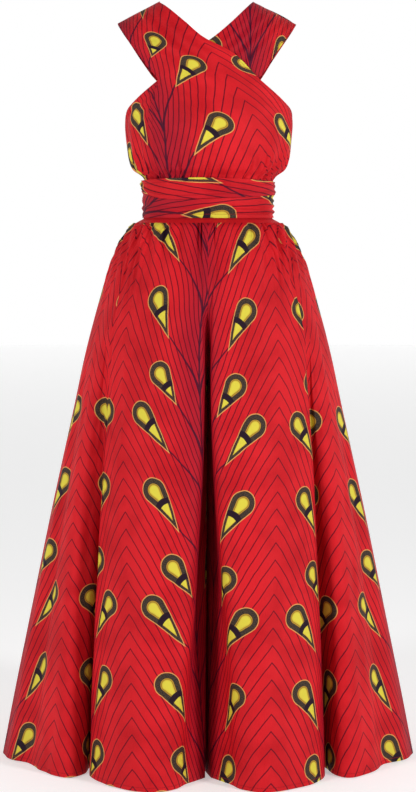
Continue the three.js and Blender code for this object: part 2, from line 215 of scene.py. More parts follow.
def vectorCalc(tree, operation, vector, values):
    node = tree.nodes.new("ShaderNodeVectorMath")
    node.operation = operation
    feed(tree, node.inputs[0], vector)
    node.inputs[1].default_value = values
    return node.outputs[0]


def axes(tree, vector):
    node = tree.nodes.new("ShaderNodeSeparateXYZ")
    feed(tree, node.inputs[0], vector)
    return node.outputs["X"], node.outputs["Y"]


def tint(tree, amount, a, b):
    node = tree.nodes.new("ShaderNodeMix")
    node.data_type = "RGBA"
    feed(tree, node.inputs["Factor"], amount)
    feed(tree, node.inputs["A"], a)
    feed(tree, node.inputs["B"], b)
    return node.outputs["Result"]


def noise(tree, vector, scale, detail=2.0):
    node = tree.nodes.new("ShaderNodeTexNoise")
    feed(tree, node.inputs["Vector"], vector)
    node.inputs["Scale"].default_value = scale
    node.inputs["Detail"].default_value = detail
    return node.outputs["Fac"]


def dye(red, green, blue):
    # a colour as it is seen on a screen, as light
    channel = [(c / 255) for c in (red, green, blue)]
    return [c / 12.92 if c <= 0.04045 else ((c + 0.055) / 1.055) ** 2.4 for c in channel] + [1.0]


printDesign = {
    # the repeat, the chevron lines and the stems
    "stemEvery": 350, "repeat": 343, "stemHalf": 1.8, "stemSoft": (-0.6, 0.8), "chevronEvery": 30,
    "chevronSlope": 1.15, "chevronCurve": 0.0062, "chevronHalf": 0.86, "chevronSoft": (-0.35, 0.55),
    # each drop: across from the stem, down, how far its tip is and how many degrees it leans
    "drops": [(83, 290, 63, 35), (125, 362, 84, 43), (108, 498, 80, 35)],
    "headRadius": 22, "bend": 0.0011, "neckAt": 25.0, "neckArch": 0.02, "neckHalf": (5.2, 6.2),
    "seedFrom": (30.0, 31.0),
    # where each part of a drop fades in, by the distance from its outline, less than 0 inside
    "outlineEdge": (0.9, 1.8), "ringEdge": (-0.7, 0.3), "neckEdge": (-0.7, 0.2), "seedEdge": (-5.4, -4.6),
    "seedShade": (-7.0, -4.2), "heartEdge": (-10.6, -9.4), "heartShade": (-16.0, -10.0),
    "hairStarts": (-12.6, -12.0), "hairEnds": (-11.7, -11.1),
    # the stalk from a drop's tip to the stem
    "stalkStart": 3.0, "joins": 105, "stalkSweep": 1.5, "stalkHalf": 1.6, "stalkGrows": 1.0,
    "stalkSoft": (-0.5, 0.9),
    # a hand's wobble in the lines: how far, and the scales of its two noises
    "wobble": 3.5, "wobbleScales": (0.028, 0.031), "wobbleApart": (311.0, 97.0, 0.0),
    # uneven dye, the violet beside the stems, specks in the rings and cracks in the wax
    "cloudScale": 0.012, "cloud": (0.35, 0.7), "violet": 0.65, "violetReach": (6.0, 75.0), "speckScale": 0.55,
    "specks": (0.45, 0.62), "crackScale": 0.05, "crackWide": 0.02, "crackCloud": (0.4, 0.8), "crackInk": 0.2,
    "chevronInk": 0.9, "stemInk": 0.88, "hairInk": 0.7,
    "ground": dye(208, 27, 36), "deepGround": dye(186, 17, 27), "nearStem": dye(148, 17, 40),
    "chevron": dye(78, 4, 26), "stem": dye(52, 9, 36), "outline": dye(218, 152, 84),
    "ring": dye(70, 57, 47), "ringDark": dye(38, 30, 27), "yellow": dye(214, 200, 66),
    "ochre": dye(188, 142, 44), "neck": dye(34, 16, 32),
}


def buildTeardrop(design):
    group, given, out = newGroup(
        "teardropMotif",
        [("Across", "NodeSocketFloat", 0.0), ("Down", "NodeSocketFloat", 0.0),
         ("Head Across", "NodeSocketFloat", 90.0), ("Head Down", "NodeSocketFloat", 0.0),
         ("Tip Far", "NodeSocketFloat", 75.0), ("Lean", "NodeSocketFloat", 0.6)],
        [("Distance", "NodeSocketFloat"), ("Along", "NodeSocketFloat"), ("Stem", "NodeSocketFloat")])
    times, plus, less = arithmetic(group)
    sine, cosine = calc(group, "SINE", given["Lean"]), calc(group, "COSINE", given["Lean"])
    radius, half = design["headRadius"], design["repeat"] / 2
    du = less(given["Across"], given["Head Across"])
    dv = calc(group, "WRAP", less(given["Down"], given["Head Down"]), half, -half)
    along = less(times(dv, cosine), times(du, sine))
    side = plus(times(du, cosine), times(dv, sine))
    side = calc(group, "ABSOLUTE", less(side, times(times(along, along), design["bend"])))
    # the flanks touch the round head and meet at the tip
    touch = calc(group, "ARCCOSINE", calc(group, "DIVIDE", radius, given["Tip Far"]))
    touchSine, touchCosine = calc(group, "SINE", touch), calc(group, "COSINE", touch)
    headDistance = less(calc(group, "SQRT", plus(times(side, side), times(along, along))), radius)
    flankDistance = less(plus(times(side, touchSine), times(along, touchCosine)), radius)
    onFlank = calc(group, "GREATER_THAN", less(times(along, touchSine), times(side, touchCosine)), 0.0)
    feed(group, out["Distance"], plus(times(flankDistance, onFlank), times(headDistance, less(1.0, onFlank))))
    feed(group, out["Along"], less(along, times(times(side, side), design["neckArch"])))
    # the stalk runs from the tip to the stem and grows stouter
    tipSide = times(times(given["Tip Far"], given["Tip Far"]), design["bend"])
    tipDown = plus(times(given["Tip Far"], cosine), times(tipSide, sine))
    tipAcross = plus(given["Head Across"], less(times(tipSide, cosine), times(given["Tip Far"], sine)))
    part = calc(group, "DIVIDE", less(dv, less(tipDown, design["stalkStart"])), design["joins"])
    inside = times(calc(group, "GREATER_THAN", part, 0.0), calc(group, "LESS_THAN", part, 1.0))
    left = calc(group, "MAXIMUM", less(1.0, part), 0.0)
    stalk = times(tipAcross, calc(group, "POWER", left, design["stalkSweep"]))
    offset = calc(group, "ABSOLUTE", less(given["Across"], stalk))
    width = plus(design["stalkHalf"], times(part, design["stalkGrows"]))
    feed(group, out["Stem"], times(fall(group, less(offset, width), *design["stalkSoft"]), inside))
    return group


def buildPrint(design, teardrop):
    group, given, out = newGroup(
        "waxPrint", [("Flat", "NodeSocketVector", None), ("Sway", "NodeSocketFloat", 0.0)],
        [("Color", "NodeSocketColor")])
    times, plus, less = arithmetic(group)
    flatU, flatV = axes(group, given["Flat"])
    moved = vectorCalc(group, "ADD", given["Flat"], design["wobbleApart"])
    scaleU, scaleV = design["wobbleScales"]
    u = plus(flatU, times(less(noise(group, given["Flat"], scaleU), 0.5), design["wobble"]))
    v = plus(flatV, times(less(noise(group, moved, scaleV), 0.5), design["wobble"]))
    halfEvery = design["stemEvery"] / 2
    across = calc(group, "ABSOLUTE", calc(group, "WRAP", u, halfEvery, -halfEvery))
    apex = less(halfEvery, across)
    # chevrons with their points up, steeper towards the stems
    drop = plus(times(apex, design["chevronSlope"]), times(times(apex, apex), design["chevronCurve"]))
    halfStep = design["chevronEvery"] / 2
    level = calc(group, "WRAP", less(v, drop), halfStep, -halfStep)
    steep = plus(design["chevronSlope"], times(apex, 2 * design["chevronCurve"]))
    steep = calc(group, "SQRT", plus(1.0, times(steep, steep)))
    lineFar = calc(group, "DIVIDE", calc(group, "ABSOLUTE", level), steep)
    chevron = fall(group, lineFar, *(design["chevronHalf"] + soft for soft in design["chevronSoft"]))
    stemLine = fall(group, across, *(design["stemHalf"] + soft for soft in design["stemSoft"]))
    distance, along, stalk = None, None, None
    for headAcross, headDown, tipFar, lean in design["drops"]:
        node = group.nodes.new("ShaderNodeGroup")
        node.node_tree = teardrop
        feed(group, node.inputs["Across"], across)
        feed(group, node.inputs["Down"], v)
        node.inputs["Head Across"].default_value = headAcross
        node.inputs["Head Down"].default_value = headDown
        node.inputs["Tip Far"].default_value = tipFar
        feed(group, node.inputs["Lean"], plus(given["Sway"], math.radians(lean)))
        if distance is None:
            distance, along, stalk = node.outputs
            continue
        nearer = calc(group, "LESS_THAN", node.outputs["Distance"], distance)
        along = plus(times(node.outputs["Along"], nearer), times(along, less(1.0, nearer)))
        distance = calc(group, "MINIMUM", node.outputs["Distance"], distance)
        stalk = calc(group, "MAXIMUM", node.outputs["Stem"], stalk)
    # ground, lines, stems
    cloudy = noise(group, given["Flat"], design["cloudScale"], 3.0)
    color = tint(group, fade(group, cloudy, *design["cloud"]), design["ground"], design["deepGround"])
    violet = times(fall(group, across, *design["violetReach"]), design["violet"])
    color = tint(group, violet, color, design["nearStem"])
    color = tint(group, times(chevron, design["chevronInk"]), color, design["chevron"])
    stems = calc(group, "MAXIMUM", stemLine, stalk)
    color = tint(group, times(stems, design["stemInk"]), color, design["stem"])
    # the drop from its outline in
    specks = fade(group, noise(group, given["Flat"], design["speckScale"]), *design["specks"])
    color = tint(group, fall(group, distance, *design["outlineEdge"]), color, design["outline"])
    color = tint(group, fall(group, distance, *design["ringEdge"]), color,
                 tint(group, specks, design["ring"], design["ringDark"]))
    heart = tint(group, fade(group, distance, *design["heartShade"]), design["yellow"], design["ochre"])
    hair = times(fade(group, distance, *design["hairStarts"]), fall(group, distance, *design["hairEnds"]))
    heart = tint(group, times(hair, design["hairInk"]), heart, design["ringDark"])
    color = tint(group, fall(group, distance, *design["heartEdge"]), color, heart)
    # the small seed near the tip lies closer to the outline, and a dark neck parts it from the heart
    seed = times(fade(group, along, *design["seedFrom"]), fall(group, distance, *design["seedEdge"]))
    seedShade = fade(group, distance, *design["seedShade"])
    color = tint(group, seed, color, tint(group, seedShade, design["yellow"], design["ochre"]))
    neckFar = calc(group, "ABSOLUTE", less(along, design["neckAt"]))
    neck = times(fall(group, neckFar, *design["neckHalf"]), fall(group, distance, *design["neckEdge"]))
    color = tint(group, neck, color, design["neck"])
    # cracks in the wax
    cracks = group.nodes.new("ShaderNodeTexVoronoi")
    cracks.feature = "DISTANCE_TO_EDGE"
    feed(group, cracks.inputs["Vector"], given["Flat"])
    cracks.inputs["Scale"].default_value = design["crackScale"]
    crack = times(fall(group, cracks.outputs["Distance"], 0.0, design["crackWide"]),
                  times(fade(group, cloudy, *design["crackCloud"]), design["crackInk"]))
    feed(group, out["Color"], tint(group, crack, color, design["chevron"]))
    return group


weaveDesign = {
    "thread": 0.62, "slubScale": 0.54, "slubLong": 0.15, "crumpleScale": 0.03,
    # heights of threads, slubs and the small crumple
    "threadHigh": 0.08, "slubHigh": 0.35, "crumpleHigh": 1.6,
    # the hem's stitches: how far in, how long, the share of thread, and the half width of the line
    "stitchFar": 7.0, "stitchLong": 3.2, "stitchShare": (0.34, 0.42), "stitchHalf": (0.3, 0.7),
    "hemSoft": (0.6, -0.4),
}


def buildWeave(design):
    group, given, out = newGroup(
        "plainWeave", [("Flat", "NodeSocketVector", None)],
        [("Height", "NodeSocketFloat"), ("Rub", "NodeSocketFloat")])
    times, plus, less = arithmetic(group)
    flatU, flatV = axes(group, given["Flat"])
    turn = math.pi / design["thread"]
    threads = times(calc(group, "SINE", times(flatU, turn)), calc(group, "SINE", times(flatV, turn)))
    stretched = vectorCalc(group, "MULTIPLY", given["Flat"], (1.0, design["slubLong"], 1.0))
    slub = noise(group, stretched, design["slubScale"], 3.0)
    crumple = noise(group, given["Flat"], design["crumpleScale"], 3.0)
    height = plus(times(threads, design["threadHigh"]), times(slub, design["slubHigh"]))
    feed(group, out["Height"], plus(height, times(crumple, design["crumpleHigh"])))
    feed(group, out["Rub"], plus(times(slub, 0.5), times(crumple, 0.5)))
    return group


def buildStitching(design):
    group, given, out = newGroup(
        "hemStitching", [("Hem Far", "NodeSocketFloat", 0.0), ("Flat", "NodeSocketVector", None)],
        [("Thread", "NodeSocketFloat"), ("Fold", "NodeSocketFloat")])
    times, plus, less = arithmetic(group)
    flatU, flatV = axes(group, given["Flat"])
    half = design["stitchLong"] / 2
    along = calc(group, "ABSOLUTE", calc(group, "WRAP", plus(flatU, flatV), half, -half))
    dash = fall(group, along, *(design["stitchLong"] * share for share in design["stitchShare"]))
    off = calc(group, "ABSOLUTE", less(given["Hem Far"], design["stitchFar"]))
    feed(group, out["Thread"], times(fall(group, off, *design["stitchHalf"]), dash))
    inHem = fade(group, given["Hem Far"], *(design["stitchFar"] + soft for soft in design["hemSoft"]))
    feed(group, out["Fold"], inHem)
    return group


clothLook = {
    "rough": 0.52, "rubbed": 0.22, "gloss": 0.12, "bump": 0.6, "bumpDeep": 0.001,
    "hemHigh": 0.4, "threadDeep": 0.5, "threadInk": 0.75, "thread": dye(150, 10, 24),
}


def clothMaterial(name, groups, printed, look):
    material = bpy.data.materials.new(name)
    material.use_nodes = True
    tree = material.node_tree
    times, plus, less = arithmetic(tree)
    surface = tree.nodes["Principled BSDF"]
    flat = tree.nodes.new("ShaderNodeUVMap")
    flat.uv_map = "clothFlat"
    scaled = vectorCalc(tree, "MULTIPLY", flat.outputs["UV"], (1000.0, 1000.0, 1.0))
    placed = {}
    for key in ("weave", "stitching", "print") if printed else ("weave", "stitching"):
        placed[key] = tree.nodes.new("ShaderNodeGroup")
        placed[key].node_tree = groups[key]
        feed(tree, placed[key].inputs["Flat"], scaled)
    weave, stitching = placed["weave"].outputs, placed["stitching"].outputs
    hem = tree.nodes.new("ShaderNodeAttribute")
    hem.attribute_name = "hemFar"
    feed(tree, placed["stitching"].inputs["Hem Far"], hem.outputs["Fac"])
    if printed:
        pulled = tree.nodes.new("ShaderNodeAttribute")
        pulled.attribute_name = "dropSway"
        feed(tree, placed["print"].inputs["Sway"], pulled.outputs["Fac"])
        color = placed["print"].outputs["Color"]
    else:
        color = tint(tree, weave["Rub"], printDesign["ground"], printDesign["deepGround"])
    color = tint(tree, times(stitching["Thread"], look["threadInk"]), color, look["thread"])
    feed(tree, surface.inputs["Base Color"], color)
    feed(tree, surface.inputs["Roughness"], plus(times(weave["Rub"], look["rubbed"]), look["rough"]))
    height = plus(weave["Height"], times(stitching["Fold"], look["hemHigh"]))
    height = less(height, times(stitching["Thread"], look["threadDeep"]))
    bump = tree.nodes.new("ShaderNodeBump")
    bump.inputs["Strength"].default_value = look["bump"]
    bump.inputs["Distance"].default_value = look["bumpDeep"]
    feed(tree, bump.inputs["Height"], height)
    feed(tree, surface.inputs["Normal"], bump.outputs["Normal"])
    surface.inputs["Specular IOR Level"].default_value = look["gloss"]
    return material


teardrop = buildTeardrop(printDesign)
clothGroups = {"print": buildPrint(printDesign, teardrop), "weave": buildWeave(weaveDesign),
               "stitching": buildStitching(weaveDesign)}
clothMaterials = {"printed": clothMaterial("waxPrintCloth", clothGroups, True, clothLook),
                  "plain": clothMaterial("plainRedCloth", clothGroups, False, clothLook)}
print("materials ready")

leg = {
    "crotch": 748, "rise": 838, "top": 1009.4, "foldGrowth": 0.85, "sway": 14,
    "inseamSpread": 5, "flankPlace": (0.5, 0.46), "innerColumns": 14, "columns": 156, "rows": 190,
    "closerRows": 0.04, "seamCalm": 16,
    # even gathers at the waist, as deep as the solid's
    "gatherDepth": 3, "gatherEvery": 30, "gatherRise": (880, 989),
    # finer uneven ones: depth, the heights where they grow, and one in how far across and along
    "fineGather": 2.4, "fineRise": (820, 985), "fineWave": (38, 300), "fineCalm": 0.55, "calmArc": (250, 480),
    "centreGather": 5.0, "centreRise": (850, 1000), "centreTop": (930, 1000), "centreShare": 0.35,
    "centreWave": (34, 600), "centreArc": (90, 260),
    # long soft folds below, and creases all over
    "longFold": 2.6, "longFades": (560, 930), "longWave": (120, 900, 5), "crease": 0.7, "creaseWave": (60, 140),
    "tightAt": (0, 500, 1010),
}
# height, half width, depth to the front, depth to the back, roundness
legCone = np.array([
    (0, 390, 300, 286, 1.5), (114, 368, 288, 274, 1.52), (285, 333, 268, 254, 1.58),
    (456, 298, 246, 232, 1.66), (661, 253, 213, 202, 1.8), (764, 231, 192, 184, 1.88),
    (866, 204, 166, 160, 1.95), (935, 183, 142, 138, 2), (970, 167, 127, 124, 2),
    (1000, 149, 113, 110, 2), (1010, 137, 104, 101, 2)], float)
# turn at the waist, place across and deep at the hem, height where the fold starts
frontFolds = np.array([
    (27, 102, 279, 900), (41, 158, 252, 900), (50, 198, 205, 850), (54, 214, 162, 800), (56, 203, 110, 790),
    (58, 215, 106, 790), (61, 229, 152, 800), (66, 256, 179, 780), (74, 303, 138, 760), (80, 328, 84, 700),
    (86, 370, 48, 700), (90, 390, 0, 700)], float)
backFolds = np.array([
    (24, 104, 266, 880), (38, 166, 218, 860), (50, 204, 128, 800), (58, 236, 156, 800), (66, 274, 160, 780),
    (78, 318, 84, 720), (85, 366, 52, 700), (90, 390, 0, 700)], float)
# the gap between the legs by height: half its width, how far its bottom lies back, how far its edges round off
parting = np.array([
    (0, 60, 121, 30), (133, 52, 132, 28), (229, 44, 137, 26), (338, 35, 136, 23), (430, 28, 129, 20),
    (525, 21, 116, 16), (640, 14, 92, 12), (748, 11, 60, 8), (838, 13, 20, 4), (900, 17, 3, 1),
    (960, 20, 0, 0), (1010, 19, 0, 0)], float)


def conePoint(height, angle, depth):
    power = 2 / throughPoints(legCone[:, 0], legCone[:, 4], height)
    width = throughPoints(legCone[:, 0], legCone[:, 1], height)
    deep = throughPoints(legCone[:, 0], legCone[:, depth], height)
    return np.stack([width * np.abs(np.sin(angle)) ** power, deep * np.abs(np.cos(angle)) ** power], axis=-1)


def legSections(folds, heights, depth):
    # every row of a leg panel in its quarter, with the directions in which the cloth faces
    h = heights[:, None]
    turn, across, deep, starts = (folds[:, k][None, :] for k in range(4))
    hemRound = legCone[0, 4] / 2
    hemAngle = np.arctan2((across / legCone[0, 1]) ** hemRound, (deep / legCone[0, depth]) ** hemRound)
    angle = mix(hemAngle, np.radians(turn), h / leg["top"])
    offset = np.stack([across, deep], axis=-1) - conePoint(np.zeros((1, 1)), hemAngle, depth)
    grown = np.maximum(0, (starts - h) / starts) ** leg["foldGrowth"]
    folded = conePoint(h, angle, depth) + offset * grown[..., None]
    part = np.clip((leg["rise"] - heights) / (leg["rise"] - leg["crotch"]), 0, 1)
    below = np.maximum(0, leg["crotch"] - heights) / leg["crotch"]
    inside = shell["gap"] + shell["solid"] / 2 * part + leg["inseamSpread"] * below
    coneWidth, coneDeep, round = (throughPoints(legCone[:, 0], legCone[:, k], heights) for k in (1, depth, 4))
    wedge, inset, dip = (throughPoints(parting[:, 0], parting[:, k], heights) for k in (1, 2, 3))
    bottom = np.stack([inside, coneDeep - inset], axis=-1)
    edge = np.stack([wedge, coneDeep * (1 - (wedge / coneWidth) ** round) ** (1 / round) - dip], axis=-1)
    flank = mix(bottom, edge, np.array(leg["flankPlace"]))
    points = np.concatenate([np.stack([bottom, flank, edge], axis=1), folded], axis=1)
    points[:, -1, 1] = shell["gap"]
    # columns are even at the hem, and each keeps its place in its fold all the way up
    fine = np.linspace(0, 1, 2001)
    hemCurve = throughRows(points[:1], fine)[0]
    run = np.concatenate([[0], np.cumsum(np.linalg.norm(np.diff(hemCurve, axis=0), axis=1))])
    places = np.interp(np.linspace(0, run[-1], leg["columns"] + 1), run, fine)
    curve = throughRows(points, places)
    start = mix(points[:, 0, 1], shell["gap"], 1 - np.sqrt(1 - part ** 2))
    step = np.arange(leg["innerColumns"])[None, :] / leg["innerColumns"]
    inner = np.stack([np.broadcast_to(inside[:, None], (len(heights), leg["innerColumns"])),
                      mix(start[:, None], points[:, :1, 1], step)], axis=-1)
    row = np.concatenate([inner, curve], axis=1)
    row[..., 0] = np.maximum(row[..., 0], inside[:, None])
    along = np.empty_like(row)
    along[:, 1:-1] = row[:, 2:] - row[:, :-2]
    along[:, 0] = row[:, 1] - row[:, 0]
    along[:, -1] = row[:, -1] - row[:, -2]
    facing = np.stack([-along[..., 1], along[..., 0]], axis=-1)
    count = leg["innerColumns"]
    facing[:, :count] = np.stack([-part, 1 - part], axis=-1)[:, None]
    facing[:, count] = np.stack([-part, np.ones_like(part)], axis=-1)
    facing[:, -1] = (1, 0)
    facing /= np.maximum(np.linalg.norm(facing, axis=2, keepdims=True), 1e-9)
    return row, facing, below, run[-1]


def legPanel(name, folds, depth, side, deep, look):
    # the hem and the waist get closer rows
    t = np.linspace(0, 1, leg["rows"])
    heights = leg["top"] * (t + leg["closerRows"] * np.sin(2 * math.pi * t))
    heights = np.sort(np.unique(np.concatenate([heights, [leg["crotch"], leg["rise"]]])))
    row, facing, below, hemRun = legSections(folds, heights, depth)
    count = leg["innerColumns"]
    run = np.concatenate([np.zeros((len(heights), 1)),
                          np.cumsum(np.linalg.norm(np.diff(row, axis=1), axis=2), axis=1)], axis=1)
    column = np.arange(row.shape[1])
    fromSeam = np.minimum(row.shape[1] - 1 - column, np.maximum(0, column - count))
    hemArc = np.concatenate([np.zeros(count), np.linspace(0, hemRun, leg["columns"] + 1)])[None, :]
    h = heights[:, None]
    wave = leg["gatherDepth"] * smooth(h, *leg["gatherRise"]) * np.sin(2 * math.pi * run / leg["gatherEvery"])
    central = 1 - leg["fineCalm"] * smooth(hemArc, *leg["calmArc"])
    fine = leg["fineGather"] * central * smooth(h, *leg["fineRise"])
    fine = fine * uneven(hemArc, h, look["seed"], *leg["fineWave"])
    pulled = smooth(h, *leg["centreRise"]) * mix(leg["centreShare"], 1, smooth(h, *leg["centreTop"]))
    centre = leg["centreGather"] * (1 - smooth(hemArc, *leg["centreArc"])) * pulled
    centre = centre * uneven(hemArc, h, look["seed"] + 3, *leg["centreWave"])
    long = leg["longFold"] * (1 - smooth(h, *leg["longFades"]))
    long = long * uneven(hemArc, h, look["seed"] + 1, *leg["longWave"])
    crease = leg["crease"] * uneven(hemArc, h, look["seed"] + 2, *leg["creaseWave"])
    lift = smooth(fromSeam, 0, leg["seamCalm"])[None, :] * (wave + fine + centre + long + crease)
    bow = np.sin(math.pi * np.minimum(column, count) / count)[None, :]
    sway = leg["sway"] * below[:, None] * bow
    level = h + shell["waistSeam"] * (h >= leg["top"])
    faces = []
    for distance in (shell["solid"] / 2, shell["solid"] / 2 - shell["cloth"]):
        at = row + facing * (lift + distance)[..., None]
        across = side * np.maximum(at[..., 0], shell["gap"]) - sway
        faces.append(np.stack([across, deep * np.maximum(at[..., 1], shell["gap"]),
                               np.broadcast_to(level, across.shape)], axis=-1))
    # the print follows the crest lines of the two lobes, each with the chevrons' points on it
    down = leg["top"] - h + look["down"]
    flats = []
    for crest, tight, lobe in (("mainCrest", "mainTight", 0.5), ("outerCrest", "outerTight", 1.5)):
        places = np.asarray(look[crest], float)
        crestX = throughPoints(places[:, 0], places[:, 1], heights)
        outside = np.where(column[None, :] >= count, row[..., 0], -1e3)
        crestRun = np.array([np.interp(x, np.maximum.accumulate(r), s)
                             for x, r, s in zip(crestX, outside, run)])
        ratio = throughPoints(leg["tightAt"], look[tight], heights)
        flats.append(np.stack([lobe * printDesign["stemEvery"] + (run - crestRun[:, None]) * ratio[:, None],
                               np.broadcast_to(down, run.shape)], axis=-1))
    split = int(np.argmin(np.abs(hemArc[0] - look["splitArc"])))
    if side * deep > 0:
        faces = [face[:, ::-1] for face in faces]
        flats = [flat[:, ::-1] for flat in flats][::-1]
        split = row.shape[1] - 1 - split
    return clothPiece(name, faces[0], faces[1], flats, np.broadcast_to(h, run.shape), split=split)


# where the chevrons' points run, by height and place across, and how far the print is drawn together
outerPrint = {
    "outerCrest": [(0, 292), (300, 262), (660, 226), (760, 214), (850, 194), (1010, 128)],
    "outerTight": (0.95, 1.0, 1.25),
}
rightPrint = {
    "mainCrest": [(0, 133), (200, 137), (450, 147), (640, 155), (760, 154), (835, 147), (900, 133), (1010, 122)],
    "mainTight": (0.96, 1.08, 1.25), **outerPrint,
}
leftPrint = {
    "mainCrest": [(0, 111), (200, 113), (450, 122), (640, 127), (760, 128), (835, 124), (900, 120), (1010, 112)],
    "mainTight": (0.94, 1.04, 1.2), **outerPrint,
}
legLooks = {
    "leg_right_front": dict(seed=11, down=18, splitArc=355, **rightPrint),
    "leg_left_front": dict(seed=21, down=-4, splitArc=355, **leftPrint),
    "leg_right_back": dict(seed=31, down=120, splitArc=345, **rightPrint),
    "leg_left_back": dict(seed=41, down=60, splitArc=345, **leftPrint),
}
pieces = {}
for name, look in legLooks.items():
    folds, depth = (frontFolds, 2) if name.endswith("front") else (backFolds, 3)
    side = -1 if "right" in name else 1
    deep = -1 if name.endswith("front") else 1
    pieces[name] = legPanel(name + "_cloth", folds, depth, side, deep, look)
    print("made", name)

bodice = {
    "rows": 130, "columns": 84, "layer": shell["solid"] + 2.1,
    # the even pleats of the solid
    "pleats": 9, "pleatDepth": 3, "pleatStart": 1096, "pleatRise": 16, "pleatFull": 1126, "pleatFade": 1165,
    # finer ones at the foot, stronger towards the sides, and drag folds along the strap
    "finePleat": 3.2, "fineFades": (1105, 1160), "fineTurns": (22, 50), "fineShare": 0.75, "fineMore": 0.6,
    "girth": 150, "fineWave": (15, 90), "drag": 1.2, "dragRun": (190, 25, 300), "dragWave": (46, 420),
    "sideCalm": 0.06, "endCalm": (0.04, 0.94), "clothWide": 240,
}
shoulderLine = {"across": 88, "rise": 1422, "slope": 40 / 76, "roll": 46}
# height, half width, depth to the front, depth to the back
torsoForm = np.array([
    (1080, 118, 84, 82), (1095, 118, 84, 82), (1108, 134, 99, 92), (1126, 143, 108, 96), (1155, 150, 116, 99),
    (1185, 153, 119, 101), (1212, 153, 117, 102), (1250, 155, 110, 102), (1290, 164, 103, 100),
    (1330, 172, 96, 94), (1360, 176, 84, 84), (1390, 176, 72, 74), (1425, 176, 62, 66)], float)
# each row's near end and far end, as turn and height, and its share of the rows
overStrap = np.array([
    (41, 1086.3, -90, 1086.3, 0), (41, 1095, -90, 1095, 1), (38, 1108, -90, 1108, 1), (38.5, 1132, -90, 1136, 2),
    (42, 1165, -90, 1172, 2), (44, 1200, -90, 1205, 2), (40.5, 1238, -60, 1238, 2), (34, 1272, -35, 1274, 2),
    (40, 1295, -15, 1322, 2), (47, 1322, 2, 1350, 2), (56, 1354, 13.8, 1382, 2), (65.5, 1376, 26.3, 1414, 2),
    (68.7, 1382, 30, 1422, 2)], float)
underStrap = np.array([
    (-5, 1086.3, -90, 1086.3, 0), (-5, 1095, -90, 1095, 1), (-3.5, 1108, -90, 1108, 1), (0, 1132, -90, 1136, 2),
    (4.5, 1165, -90, 1172, 2), (11, 1200, -90, 1205, 2), (22, 1238, -60, 1238, 2), (35, 1274, -34, 1274, 2),
    (40.4, 1295, -14.4, 1318, 2), (46.5, 1322, 0.7, 1346, 2), (56, 1354, 13.8, 1380, 2), (65.5, 1376, 25, 1413, 2),
    (68.7, 1382, 28.5, 1424, 2)], float)


def ridgeHeight(across, out):
    return shoulderLine["rise"] + out - (np.abs(across) - shoulderLine["across"]) * shoulderLine["slope"]


def formPoint(turn, height, depth, out):
    width = throughPoints(torsoForm[:, 0], torsoForm[:, 1], height)
    deep = throughPoints(torsoForm[:, 0], torsoForm[:, depth], height)
    across = (width + out) * np.sin(turn)
    under = np.clip((ridgeHeight(across, out) - height) / shoulderLine["roll"], 0, 1)
    return np.stack([across, (deep + out) * np.cos(turn) * np.sqrt(1 - (1 - under) ** 2), height], axis=-1)


def strapPanel(name, edges, depth, shoulder, deep, layer, look):
    shares = edges[:, 4]
    anchors = np.cumsum(shares) / shares.sum()
    t = np.linspace(0, 1, bodice["rows"])
    places = np.interp(t, anchors, np.arange(len(edges)) / (len(edges) - 1))
    near = throughRows(edges[None, :, 0:2], places)[0]
    far = throughRows(edges[None, :, 2:4], places)[0]
    side = np.linspace(0, 1, bodice["columns"] + 1)[None, :]
    height = mix(far[:, 1:2], near[:, 1:2], side)
    turn = np.radians(np.maximum(mix(far[:, 0:1], near[:, 0:1], side), -90))
    low, rise = bodice["pleatStart"], bodice["pleatRise"]
    bloused = smooth(height, low, low + rise) * (1 - smooth(height, bodice["pleatFull"], bodice["pleatFade"]))
    pleat = bodice["pleatDepth"] * bloused * (0.5 - 0.5 * np.cos(2 * bodice["pleats"] * turn))
    inSide = smooth(side, 0, bodice["sideCalm"]) * (1 - smooth(side, 1 - bodice["sideCalm"], 1))
    t = t[:, None]
    ends = smooth(t, 0, bodice["endCalm"][0]) * (1 - smooth(t, bodice["endCalm"][1], 1))
    outer = bodice["fineShare"] + bodice["fineMore"] * smooth(np.abs(turn), *np.radians(bodice["fineTurns"]))
    fine = bodice["finePleat"] * outer * (1 - smooth(height, *bodice["fineFades"]))
    fine = fine * uneven(shoulder * turn * bodice["girth"], height, look["pleatSeed"], *bodice["fineWave"])
    wide, lean, long = bodice["dragRun"]
    drag = bodice["drag"] * uneven(side * wide + t * lean, t * long, look["seed"] + 1, *bodice["dragWave"])
    lift = inSide * ends * (fine + drag)
    faces = []
    for out in (shell["solid"], shell["solid"] - shell["cloth"]):
        at = formPoint(turn, height, depth, out + layer + pleat + lift)
        at[-1, :, 1] = 0
        at[-1, :, 2] = ridgeHeight(at[-1, :, 0], out + layer)
        faces.append(np.stack([shoulder * at[..., 0], deep * np.maximum(at[..., 1], shell["gap"]),
                               at[..., 2]], axis=-1))
    # the print runs across from a line of chevron points or from a stem, and down with the height
    width = throughPoints(torsoForm[:, 0], torsoForm[:, 1], height)
    arc = shoulder * turn * width
    line, tight, down, sway = (throughPoints(*np.asarray(look[key], float).T, height)
                               for key in ("line", "tight", "down", "sway"))
    flat = np.stack([look["lineAt"] + (arc - line) * tight, down], axis=-1)
    sway = np.radians(sway)
    edgeFar = np.minimum(side, 1 - side) * bodice["clothWide"] + np.zeros_like(height)
    if shoulder * deep > 0:
        faces = [face[:, ::-1] for face in faces]
        flat, edgeFar, sway = flat[:, ::-1], edgeFar[:, ::-1], sway[:, ::-1]
    return clothPiece(name, faces[0], faces[1], [flat], edgeFar, sway=sway)


